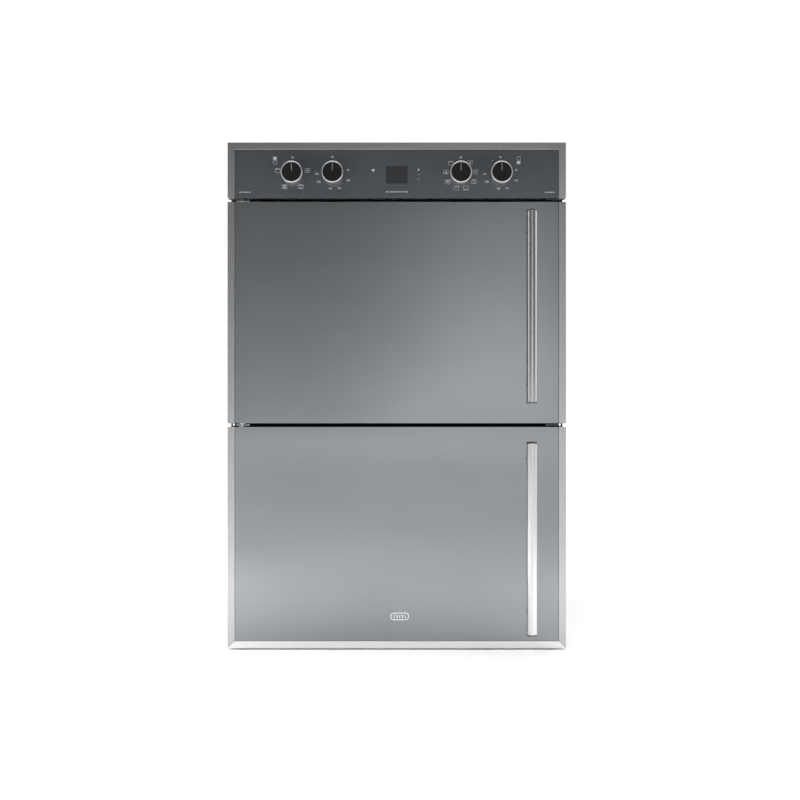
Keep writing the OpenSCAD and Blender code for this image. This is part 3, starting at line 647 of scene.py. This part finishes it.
def handle(door):
    """Round bar with chamfered end caps, on two turned posts. Returns the pieces."""
    bar, fittings = f"{door}_handle_bar", f"{door}_handle_fittings"
    lowest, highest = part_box(bar)
    axis = (lowest + highest) / 2
    r = (highest.x - lowest.x) / 2
    half = (highest.z - lowest.z) / 2
    bm = bmesh.new()
    lathe(bm, [(0, -half + 0.1 * MM), (r - 0.5 * MM, -half + 0.1 * MM), (r, -half + 0.5 * MM),
               (r, half - 0.5 * MM), (r - 0.5 * MM, half - 0.1 * MM), (0, half - 0.1 * MM)],
          axis, (0, 0, 1), 96)
    tube_piece = stand_in(f"{door}_handle_tube", bm, HANDLE_STEEL_PAINTED_LIGHTER, bar)

    bm = bmesh.new()
    end = (high(fittings).z - low(fittings).z) / 2
    for s in (-1, 1):
        lathe(bm, [(0, 0), (r - 0.35 * MM, 0), (r - 0.35 * MM, 0.5 * MM), (r, 0.9 * MM),
                   (r, end - half - 1.1 * MM), (r - 0.3 * MM, end - half - 0.4 * MM),
                   (r - 1.1 * MM, end - half), (0, end - half)],
              axis + Vector((0, 0, s * half)), (0, 0, s), 96)
    # the end caps take the dark steel: painted shade at the handle's ends
    ends = stand_in(f"{door}_handle_ends", bm, END_CAP_PAINTED_SHADE, fittings)

    bm = bmesh.new()
    back = GLASS_Y - axis.y
    for s in (-1, 1):
        foot = axis + Vector((0, 0, s * (end - 32 * MM)))
        lathe(bm, [(5.05 * MM, r * 0.8), (5.05 * MM, back - 26 * MM), (4.9 * MM, back - 22 * MM),
                   (4.4 * MM, back - 14 * MM), (4 * MM, back - 6 * MM), (3.9 * MM, back)],
              foot, (0, 1, 0), 40)
    posts = piece(f"{door}_handle_posts", bm, BODY_OF[fittings], HANDLE_STEEL_PAINTED_LIGHTER)
    return tube_piece, ends, posts


for door in DOORS:
    for made in handle(door):
        made.visible_glossy = False              # the doors don't show their handles twice


# ---------------------------------------------------------------- knobs

def knob(name):
    """A turned metal skirt round a black cap with a pale pointer line."""
    skirt, cap = f"{name}_skirt", f"{name}_cap"
    lowest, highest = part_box(skirt)
    r = (highest.x - lowest.x) / 2
    deep = highest.y - lowest.y
    face = Vector(((lowest.x + highest.x) / 2, lowest.y, (lowest.z + highest.z) / 2))
    inner = r - 2.2 * MM                         # the skirt's face is this wide round the cap
    bm = bmesh.new()
    lathe(bm, [(inner, 13 * MM), (inner, 0.35 * MM), (inner + 0.15 * MM, 0.08 * MM),
               (inner + 0.4 * MM, 0), (r - 1.2 * MM, 0), (r - 0.75 * MM, 0.15 * MM),
               (r - 0.35 * MM, 0.5 * MM), (r - 0.1 * MM, 1 * MM), (r, 1.7 * MM), (r, deep - 0.3 * MM),
               (r - 0.3 * MM, deep), (5.2 * MM, deep)], face, (0, 1, 0), 96)
    stand_in(f"{name}_ring", bm, MATERIALS["knob_metal"], skirt)

    cr = inner - 0.25 * MM                       # the cap's radius, less its clearance
    bm = bmesh.new()
    lathe(bm, [(0, 0.25 * MM), (cr * 0.55, 0.2 * MM), (cr - 1.4 * MM, 0), (cr - 0.6 * MM, 0.05 * MM),
               (cr - 0.15 * MM, 0.35 * MM), (cr, 0.9 * MM), (cr, 12 * MM)], face, (0, 1, 0), 96)
    lathe(bm, [(3 * MM, 12 * MM), (3 * MM, 40 * MM), (0, 40 * MM)], face, (0, 1, 0), 32)
    stand_in(f"{name}_button", bm, MATERIALS["knob_black"], cap)

    bm = bmesh.new()
    top, bottom = cr - 0.4 * MM, 1.9 * MM
    prism(bm, oblong(face.x, face.z + (top + bottom) / 2, 1 * MM, top - bottom),
          face.y - 0.12 * MM, face.y + 0.6 * MM)
    piece(f"{name}_pointer", bm, BODY_OF[cap], DIM_PRINT, 0.1 * MM)


for name in KNOBS:
    knob(name)


# ---------------------------------------------------------------- printed symbols

INK_Y = GLASS_Y - 0.06 * MM
INK = 0.32                                     # width of a printed stroke


def ring_mark(bm, x, z, r, line):
    """Printed circle; the radii are in millimetres."""
    band(bm, disc(x, z, r * MM), disc(x, z, (r - line) * MM), INK_Y, GLASS_Y)


def stroke_box(bm, x, z, w, h, line=INK):
    """Printed outline of a box, sizes in millimetres, centre in metres."""
    outer = rounded_loop(x, z, w * MM, h * MM, 0.8 * MM, 3)
    inner = rounded_loop(x, z, (w - 2 * line) * MM, (h - 2 * line) * MM, 0.4 * MM, 3)
    band(bm, outer, inner, INK_Y, GLASS_Y)


def bar_mark(bm, x, z, w, h, near=INK_Y, far=GLASS_Y):
    prism(bm, oblong(x, z, w * MM, h * MM), near, far)


def dot_mark(bm, x, z, r):
    prism(bm, disc(x, z, r * MM), INK_Y, GLASS_Y)


def icon(bm, kind, x, z):
    """One oven pictogram, 9 x 7.4 mm: a cavity outline with its heat sources inside."""
    stroke_box(bm, x, z, 9, 7.4)
    if "top" in kind:
        bar_mark(bm, x, z + 2.2 * MM, 6, 0.6)
    if "bottom" in kind:
        bar_mark(bm, x, z - 2.2 * MM, 6, 0.6)
    if "grill" in kind:
        for i in range(-2, 3):
            bar_mark(bm, x + i * 1.25 * MM, z + 1.9 * MM, 0.6, 1.2)
    if "fan" in kind:
        ring_mark(bm, x, z, 1.6, 0.45)
        dot_mark(bm, x, z, 0.4)
    if "light" in kind:
        dot_mark(bm, x, z, 1.3)


def oven_mark(bm, x, z, filled):
    """Two stacked cavities, one of them filled in, showing which oven a knob sets."""
    for s in (-1, 1):
        stroke_box(bm, x, z + s * 3.7 * MM, 7, 6)
    bar_mark(bm, x, z + filled * 3.7 * MM, 4.6, 3.6)


def small_marks(bm, x, z, count, pitch):
    """A row of plain blocks of uneven width where the real panel has small lettering."""
    for i in range(count):
        at = x + (i - (count - 1) / 2) * pitch * MM
        bar_mark(bm, at, z, pitch * (0.5, 0.3, 0.42)[i % 3], 1.9)


def digits(text, x, z, size=4.4):
    """A dial number as a thin printed mesh."""
    curve = bpy.data.curves.new("digits", "FONT")
    curve.body = text
    curve.size = size * MM
    curve.extrude = 0.03 * MM
    curve.align_x = "CENTER"
    curve.align_y = "CENTER"
    obj = bpy.data.objects.new("digits", curve)
    bpy.context.scene.collection.objects.link(obj)
    bpy.context.view_layer.update()
    made = bpy.data.meshes.new_from_object(obj.evaluated_get(bpy.context.evaluated_depsgraph_get()))
    bpy.data.objects.remove(obj)
    for v in made.vertices:
        v.co = (x + v.co.x, GLASS_Y - 0.03 * MM - v.co.z, z + v.co.y)
    return made


def on_dial(knob_name, dx, dz):
    centre = middle(f"{knob_name}_skirt")
    return centre.x + dx * MM, centre.z + dz * MM


def panel_print():
    bm = bmesh.new()
    for kind, dx, dz in (("light", 26.2, 6), ("top bottom", 14.6, -22.4),
                         ("fan top bottom", -13.8, -22.4), ("grill", -26, 6)):
        icon(bm, kind, *on_dial("upper_function_knob", dx, dz))
    for kind, dx, dz in (("light", 16.9, 19.5), ("fan", 26.2, 3.5), ("top bottom", 23.2, -13.7),
                         ("bottom", 9.5, -24.8), ("grill", -7.5, -24.8), ("fan grill", -22.6, -14),
                         ("fan bottom", -25.2, 3.5), ("top", -17.2, 18.8)):
        icon(bm, kind, *on_dial("lower_function_knob", dx, dz))
    oven_mark(bm, *on_dial("upper_function_knob", -30.8, 23.6), 1)
    oven_mark(bm, *on_dial("lower_thermostat_knob", 30.8, 23.6), -1)
    for name, dx, dz in (("upper_function_knob", 0, 28.8), ("upper_thermostat_knob", -1, 29.6),
                         ("lower_function_knob", 0.6, 28.8), ("lower_thermostat_knob", -1, 29.4)):
        ring_mark(bm, *on_dial(name, dx, dz), 1.7, 0.6)
    for r, dx, dz in ((0.6, -14.8, 23.6), (0.6, -21, 14.8)):
        dot_mark(bm, *on_dial("lower_thermostat_knob", dx, dz), r)
    dial = ((27, 6.7), (26.4, -11.5), (10.5, -25.2), (-4.8, -26), (-25, -13.8), (-28.4, 0))
    for name in ("upper_thermostat_knob", "lower_thermostat_knob"):
        for text, (dx, dz) in zip(("50", "100", "150", "180", "220", "250"), dial):
            bm.from_mesh(digits(text, *on_dial(name, dx, dz)))
    middle_x, middle_z = middle("display_module").x, middle("display_module").z
    bar_mark(bm, middle_x - 41.5 * MM, middle_z + 8.6 * MM, 5, 2.2)
    bar_mark(bm, middle_x - 41.5 * MM, middle_z + 5.4 * MM, 3.4, 0.7)
    dot_mark(bm, middle_x + 38.3 * MM, middle_z + 9 * MM, 1.4)
    small_marks(bm, middle_x, middle_z - 29.8 * MM, 10, 3.9)
    piece("panel_symbols", bm, "cabinet", PRINT)

    bm = bmesh.new()
    for lift in (1, -7):
        bar_mark(bm, middle_x + 38.3 * MM, middle_z + lift * MM, 3.6, 0.8)
    piece("panel_faint_marks", bm, "cabinet", DIM_PRINT)

    bm = bmesh.new()
    small_marks(bm, -266.6 * MM, middle_z - 30.5 * MM, 6, 3.4)
    small_marks(bm, 268.6 * MM, middle_z - 30.5 * MM, 5, 3.6)
    piece("panel_corner_marks", bm, "cabinet", PRINT)


def display():
    """The unlit display: a dark window with four ghostly seven-segment figures."""
    centre = middle("display_module")
    bm = bmesh.new()
    prism(bm, rounded_loop(centre.x, centre.z, 38 * MM, 30.5 * MM, 1 * MM, 4), INK_Y, GLASS_Y)
    look = Look("display_window", (0.012, 0.014, 0.016), 0.1, 0.0, **{"Coat Weight": 0.5})
    look.colour(look.noise(60, (1, 1, 1), 2), (0.3, (0.011, 0.013, 0.015)), (0.7, (0.016, 0.018, 0.02)))
    piece("display_window", bm, "cabinet", look.material)
    bm = bmesh.new()
    segments = []
    for figure in (-12.6, -5.2, 5.2, 12.6):
        segments += [(figure, row * 5, 3.4, 0.7) for row in (-1, 0, 1)]
        segments += [(figure + side * 2.1, row * 2.5, 0.7, 3.8) for side in (-1, 1) for row in (-1, 1)]
    segments += [(0, row * 2, 0.8, 0.8) for row in (-1, 1)]
    for dx, dz, w, h in segments:
        bar_mark(bm, centre.x + dx * MM, centre.z + dz * MM, w, h, INK_Y - 0.04 * MM, INK_Y)
    ghost = Look("unlit_segments", (0.018, 0.02, 0.022), 0.14, 0.0, **{"Coat Weight": 0.5})
    ghost.colour(ghost.noise(80), (0.3, (0.017, 0.019, 0.021)), (0.7, (0.02, 0.022, 0.024)))
    piece("display_segments", bm, "cabinet", ghost.material)


panel_print()
display()


# ---------------------------------------------------------------- doors

def badge():
    """Rounded badge with five plain heat strokes, low on the lower door."""
    x, z = 5 * MM, LOW_EDGE + 56 * MM
    face = GLASS_Y - 0.25 * MM
    bm = bmesh.new()
    prism(bm, rounded_loop(x, z, 33 * MM, 13 * MM, 6.2 * MM), face, GLASS_Y)
    piece("badge_plate", bm, "lower_door", MATERIALS["mirror_glass"], 0.1 * MM)
    bm = bmesh.new()
    band(bm, rounded_loop(x, z, 33 * MM, 13 * MM, 6.2 * MM),
         rounded_loop(x, z, 30.4 * MM, 10.4 * MM, 4.9 * MM), face - 0.12 * MM, face)
    for i in range(-2, 3):
        path = [(x + i * 4.7 * MM + 0.8 * MM * math.sin(math.tau * k / 12), face - 0.1 * MM,
                 z + (k / 12 - 0.5) * 5.6 * MM) for k in range(13)]
        tube(bm, path, 0.62 * MM, 8)
    piece("badge_strokes", bm, "lower_door", PALE_PRINT)


def door_front(door):
    """Thin dark seams beside the glass, and the faint edge of the window behind it."""
    glass = f"{door}_door_glass"
    lowest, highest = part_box(glass)
    bm = bmesh.new()
    for s in (-1, 1):
        prism(bm, oblong(s * highest.x - 0.025 * MM, middle(glass).z, 0.65 * MM, highest.z - lowest.z),
              GLASS_Y - 0.05 * MM, GLASS_Y + 0.5 * MM)
    piece(f"{door}_door_seams", bm, BODY_OF[glass], SEAM)
    window = middle(f"{door}_door_inner_pane").z
    bm = bmesh.new()
    band(bm, rounded_loop(0, window, 440 * MM, 240 * MM, 12 * MM),
         rounded_loop(0, window, 438.4 * MM, 238.4 * MM, 11.2 * MM), GLASS_Y - 0.02 * MM, GLASS_Y)
    piece(f"{door}_window_edge", bm, BODY_OF[glass], WINDOW_EDGE)


def door_inside(door):
    """Printed border of the inner pane, and the screws that hold the door's parts together."""
    pane, body = f"{door}_door_inner_pane", f"{door}_door_body"
    lowest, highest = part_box(pane)
    z = (lowest.z + highest.z) / 2
    back = highest.y
    ink = back + 0.06 * MM
    bm = bmesh.new()
    band(bm, rounded_loop(0, z, 474 * MM, 279 * MM, 3 * MM),
         rounded_loop(0, z, 420 * MM, 222 * MM, 14 * MM), back, ink)
    for i in range(-34, 35):
        for s in (-1, 1):
            prism(bm, disc(i * 6 * MM, z + s * 107.5 * MM, 1.1 * MM, 2), back, ink)
    piece(f"{door}_pane_border", bm, BODY_OF[pane], MATERIALS["black_enamel"])
    lowest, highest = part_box(body)
    bm = bmesh.new()
    for x in (-262, -150, 150, 262):
        for edge in (lowest.z + 9 * MM, highest.z - 9 * MM):
            lathe(bm, [(0, 0.02 * MM), (1.4 * MM, 0.02 * MM), (1.6 * MM, 0.26 * MM),
                       (3.1 * MM, 0.28 * MM), (3.3 * MM, 0)], (x * MM, highest.y, edge), (0, 1, 0), 20)
    piece(f"{door}_door_screws", bm, BODY_OF[body], MATERIALS["fitting_steel"])


def mitre_seams():
    """Hairlines where the edging's bars meet at 45 degrees."""
    for name, node, level, up in (("panel_mitres", "fascia_frame", TOP_EDGE, -1),
                                  ("lower_door_mitres", "lower_door_edging", LOW_EDGE, 1)):
        bm = bmesh.new()
        for s in (-1, 1):
            w, half = EDGING_W, 0.11 * MM
            corners = ((half, 0.3 * MM), (3 * half, 0.3 * MM), (w + half, w - half), (w - half, w))
            prism(bm, [(s * (HALF_W - a), level + up * b) for a, b in corners],
                  FRONT_Y - 0.02 * MM, FRONT_Y + 0.1 * MM)
        piece(name, bm, BODY_OF[node], SEAM)


def hinge_washers():
    """Slip washers on the hinge pins, and a rivet in each arm."""
    bm, heads = bmesh.new(), bmesh.new()
    x, y = low("hinge_arm_middle").x + 11 * MM, low("hinge_arm_middle").y + 4 * MM    # the pins
    middle_gap = middle("hinge_arm_middle").z
    top_gap = (low("fascia_frame").z + high("upper_door_edging").z) / 2
    for gap, sides in ((middle_gap, (-1, 1)), (top_gap, (-1,))):
        for s in sides:
            lathe(bm, [(3.1 * MM, 1.55 * MM), (5.2 * MM, 1.55 * MM), (5.4 * MM, 1.8 * MM),
                       (5.4 * MM, 2.4 * MM), (5.2 * MM, 2.6 * MM), (3.1 * MM, 2.6 * MM),
                       (3.1 * MM, 1.55 * MM)], (x, y, gap), (0, 0, s), 32)
        rod(heads, (x + 6 * MM, y + 12 * MM, gap - 1.9 * MM), (x + 6 * MM, y + 12 * MM, gap + 1.9 * MM),
            2.2 * MM)
    piece("hinge_washers", bm, "cabinet", MATERIALS["white_plastic"])
    piece("hinge_rivets", heads, "cabinet", MATERIALS["chromed_wire"])


# ---------------------------------------------------------------- inside the ovens

def gasket():
    """Bead of the heat-proof seal round each oven's mouth."""
    lowest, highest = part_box("door_gaskets")
    bm = bmesh.new()
    y = (lowest.y + highest.y) / 2
    for door in DOORS:
        z = middle(f"{door}_cavity").z
        loop = rounded_loop(0, z, 485 * MM, 325 * MM, 18.5 * MM, 8)
        tube(bm, [(a, y, b) for a, b in loop], 2.8 * MM, 14, closed=True)
        for dx, dz in ((-236, -158), (236, -158), (-236, 158), (236, 158)):
            rod(bm, (dx * MM, y, z + dz * MM), (dx * MM, highest.y, z + dz * MM), 1.6 * MM)
    stand_in("gasket_beads", bm, MATERIALS["seal_rubber"], "door_gaskets")


def rack(door):
    """Two wire ladders that carry the shelves."""
    node = f"{door}_side_racks"
    lowest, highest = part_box(node)
    bm = bmesh.new()
    for s in (-1, 1):
        post_x, rail_x = s * (highest.x - 2.5 * MM), s * 223 * MM
        for y in (lowest.y + 21 * MM, lowest.y + 321 * MM):
            rod(bm, (post_x, y, lowest.z), (post_x, y, highest.z), 2.5 * MM)
        for level in range(5):
            for lift in (22, 36):                # a shelf slides between the two rails
                z = lowest.z + (lift + 45 * level) * MM
                rod(bm, (rail_x, lowest.y, z), (rail_x, highest.y, z), 2 * MM)
    stand_in(f"{door}_rack_wires", bm, MATERIALS["chromed_wire"], node)


def shelf(door):
    """Wire shelf: a frame with round corners, eighteen bars and a brace beneath."""
    node = f"{door}_wire_shelf"
    lowest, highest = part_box(node)
    z = lowest.z + 3.4 * MM
    x, y0, y1 = highest.x - 3 * MM, lowest.y + 3 * MM, highest.y - 3 * MM
    loop = rounded_loop(0, (y0 + y1) / 2, 2 * x, y1 - y0, 14 * MM, 6)
    bm = bmesh.new()
    tube(bm, [(a, b, z) for a, b in loop], 3 * MM, 14, closed=True)
    bars = 18
    for i in range(1, bars + 1):
        at = -x + i * 2 * x / (bars + 1)
        rod(bm, (at, y0 - 1 * MM, z + 1.6 * MM), (at, y1 + 1 * MM, z + 1.6 * MM), 1.5 * MM, 10)
    rod(bm, (-x, (y0 + y1) / 2, z - 1.4 * MM), (x, (y0 + y1) / 2, z - 1.4 * MM), 2 * MM)
    stand_in(f"{door}_shelf_wires", bm, MATERIALS["chromed_wire"], node)


def coil(node, side, folds=3):
    """Flat heating element, bent to and fro, on a small flange at the back wall.

    Millimetres: the side is its half width, and tail, back and front are depths."""
    tail, back, front, leg = 428, 370, 62, 24
    step = (side - leg) / folds
    half = [(leg, tail), (leg, back), (side, back), (side, front)]
    half += [(side - i * step, front if (i + end) % 2 else back - step)
             for i in range(1, folds + 1) for end in (0, 1)]
    flat = half + [(-x, y) for x, y in reversed(half)]
    z = middle(node).z
    shift = high(node).y - tail * MM
    bm = bmesh.new()
    tube(bm, rounded([(x * MM, y * MM + shift, z) for x, y in flat], 14 * MM, 6), 3.5 * MM, 14)
    stand_in(f"{node}_tube", bm, MATERIALS["element_steel"], node)
    bm = bmesh.new()
    wall = high("upper_cavity").y - 1 * MM
    prism(bm, rounded_loop(0, z, 74 * MM, 17 * MM, 4 * MM), wall - 1.4 * MM, wall)
    for s in (-1, 1):
        lathe(bm, [(3.6 * MM, 4 * MM), (5.4 * MM, 3.4 * MM), (5.8 * MM, 0)],
              (s * leg * MM, wall - 1.2 * MM, z), (0, -1, 0), 20)
        screw(bm, (s * 33 * MM, wall - 1.4 * MM, z), (0, -1, 0), 2.6 * MM)
    piece(f"{node}_flange", bm, "cabinet", MATERIALS["fitting_steel"], 0.2 * MM)


def ring_element():
    """Round element about the fan."""
    node = "ring_element"
    lowest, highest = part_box(node)
    y, z, r, leg = lowest.y + 3.5 * MM, middle("fan_wheel").z, 95 * MM, 14 * MM
    start = math.asin(leg / r)
    arc = [(r * math.sin(a), y, z - r * math.cos(a))
           for a in (start + (math.tau - 2 * start) * k / 60 for k in range(61))]
    first, last = (leg, highest.y, arc[0][2]), (-leg, highest.y, arc[0][2])
    path = rounded([first, arc[0], arc[3]], 6 * MM)[:-1] + arc[3:-3]
    path += rounded([arc[-4], arc[-1], last], 6 * MM)[1:]
    bm = bmesh.new()
    tube(bm, path, 3.5 * MM, 14)
    stand_in("ring_element_tube", bm, MATERIALS["element_steel"], node)


def lamps():
    """Domed lamp lenses in chromed rims, with their ceramic holders behind the wall."""
    lens, rim, holder = bmesh.new(), bmesh.new(), bmesh.new()
    y = low("oven_lamps").y
    for door in DOORS:
        place = (-198 * MM, y, middle(f"{door}_cavity").z + 100 * MM)
        lathe(lens, [(0, 0), (6 * MM, 0.15 * MM), (11 * MM, 0.9 * MM), (14.6 * MM, 2.6 * MM),
                     (16.6 * MM, 5.2 * MM), (17 * MM, 8 * MM), (17 * MM, 12 * MM)], place, (0, 1, 0))
        lathe(rim, [(17.1 * MM, 13.8 * MM), (17.1 * MM, 8.8 * MM), (18.2 * MM, 8.2 * MM),
                    (19.6 * MM, 8.6 * MM), (20.4 * MM, 10.2 * MM), (22.6 * MM, 10.6 * MM),
                    (23 * MM, 11.4 * MM), (23 * MM, 13.8 * MM)], place, (0, 1, 0))
        lathe(holder, [(0, 13 * MM), (20 * MM, 13 * MM), (20 * MM, 51 * MM), (19 * MM, 52 * MM),
                       (12 * MM, 52 * MM), (12 * MM, 61.4 * MM), (11.4 * MM, 62 * MM), (0, 62 * MM)],
              place, (0, 1, 0))
    stand_in("lamp_lenses", lens, MATERIALS["lamp_glass"], "oven_lamps")
    piece("lamp_rims", rim, "cabinet", MATERIALS["chromed_wire"])
    piece("lamp_holders", holder, "cabinet", MATERIALS["white_plastic"])


def tray(door):
    """A rolled bead along the baking tray's rim."""
    node = f"{door}_baking_tray"
    lowest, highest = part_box(node)
    loop = rounded_loop(0, (lowest.y + highest.y) / 2, highest.x * 2 - 3 * MM,
                        highest.y - lowest.y - 3 * MM, 14.5 * MM)
    bm = bmesh.new()
    tube(bm, [(a, b, highest.z - 0.75 * MM) for a, b in loop], 0.7 * MM, 12, closed=True)
    piece(f"{door}_tray_bead", bm, BODY_OF[node], MATERIALS["black_enamel"])


# ---------------------------------------------------------------- carcass

def rib(bm, start, end, across, out, width=16 * MM, rise=2 * MM):
    """A pressed stiffening rib from start to end on a sheet."""
    start, end, across, out = (Vector(v) for v in (start, end, across, out))
    along = (end - start).normalized()
    rows = []
    for inset, lift in ((0, 0), (0.8 * MM, 0.1 * rise), (2.6 * MM, 0.6 * rise), (4 * MM, 0.92 * rise),
                        (5.2 * MM, rise)):
        half = width / 2 - inset
        turn = [(start, math.pi), (end, 0)]
        row = []
        for centre, first in turn:
            for k in range(9):
                a = first - math.pi / 2 + math.pi * k / 8
                row.append(bm.verts.new(centre + half * (math.cos(a) * along + math.sin(a) * across)
                                        + out * lift))
        rows.append(row)
    for one, two in zip(rows, rows[1:]):
        for k in range(len(one)):
            n = (k + 1) % len(one)
            bm.faces.new((one[k], one[n], two[n], two[k]))
    bm.faces.new(rows[-1])


def carcass():
    """Pressed ribs and screws of the outer sheets, the cable cover, rating plate and gland nut."""
    side_x = high("side_panel_right").x
    back = high("rear_cover").y
    sheet = MATERIALS["galvanised_steel"]
    for name, s in (("left", -1), ("right", 1)):
        x = s * side_x
        bm = bmesh.new()
        for z in (150 * MM, 420 * MM, 620 * MM):
            rib(bm, (x, -170 * MM, z), (x, 250 * MM, z), (0, 0, 1), (s, 0, 0))
        piece(f"{name}_side_ribs", bm, "cabinet", sheet, smooth=60)
    bm = bmesh.new()
    for x in (-215, 215):
        rib(bm, (x * MM, back, 60 * MM), (x * MM, back, 750 * MM), (1, 0, 0), (0, 1, 0))
    piece("rear_ribs", bm, "cabinet", sheet, smooth=60)

    heads = bmesh.new()
    for x in (-265, 265):
        for z in (20, 300, 580, 850):
            screw(heads, (x * MM, back, z * MM), (0, 1, 0), 3.8 * MM)
    for s in (-1, 1):
        for y in (-200, 40, 290):
            for z in (20, 855):
                screw(heads, (s * side_x, y * MM, z * MM), (s, 0, 0))
            screw(heads, (s * 262 * MM, y * MM, high("top_cover").z), (0, 0, 1))
    gland = middle("cable_gland")
    for dx, dz in ((-34, -22), (34, -22), (-34, 22), (34, 22)):
        screw(heads, (gland.x + dx * MM, back + 0.8 * MM, gland.z + dz * MM), (0, 1, 0), 3 * MM)
    piece("carcass_screws", heads, "cabinet", MATERIALS["fitting_steel"])

    bm = bmesh.new()
    band(bm, rounded_loop(gland.x, gland.z, 84 * MM, 58 * MM, 5 * MM, 8),
         disc(gland.x, gland.z, 12.4 * MM, 8), back, back + 0.8 * MM)
    piece("terminal_cover_plate", bm, "cabinet", sheet, 0.2 * MM)
    bm = bmesh.new()
    prism(bm, rounded_loop(120 * MM, 800 * MM, 90 * MM, 44 * MM, 3 * MM), back, back + 0.15 * MM)
    piece("rating_plate", bm, "cabinet", MATERIALS["bare_aluminium"])
    bm = bmesh.new()
    for row, wide in enumerate((70, 52, 64, 40, 58, 30)):
        bar_mark(bm, (82 + wide / 2) * MM, (814.8 - 5.6 * row) * MM, wide, 1.6,
                 back + 0.1 * MM, back + 0.2 * MM)
    piece("rating_plate_lines", bm, "cabinet", MATERIALS["black_plastic"])

    bm = bmesh.new()
    lathe(bm, [(11 * MM, -0.2 * MM), (12 * MM, -0.2 * MM), (12 * MM, 4.6 * MM), (11.4 * MM, 5 * MM),
               (9 * MM, 5 * MM)], (gland.x, back + 0.4 * MM, gland.z), (0, 1, 0), 6)
    lathe(bm, [(9.4 * MM, 4.8 * MM), (9.4 * MM, 7 * MM), (8.6 * MM, 9 * MM), (7.2 * MM, 11 * MM),
               (5.9 * MM, 11.5 * MM), (5.5 * MM, 11.1 * MM), (5.5 * MM, -8 * MM)],
          (gland.x, back + 0.4 * MM, gland.z), (0, 1, 0), 40)
    piece("gland_nut", bm, "cabinet", MATERIALS["black_plastic"], 0.3 * MM)


badge()
mitre_seams()
hinge_washers()
gasket()
lamps()
ring_element()
carcass()
for door in DOORS:
    door_front(door)
    door_inside(door)
    rack(door)
    shelf(door)
    tray(door)
for node, side in (("upper_grill_element", 180), ("upper_base_element", 190),
                   ("lower_grill_element", 180)):
    coil(node, side)
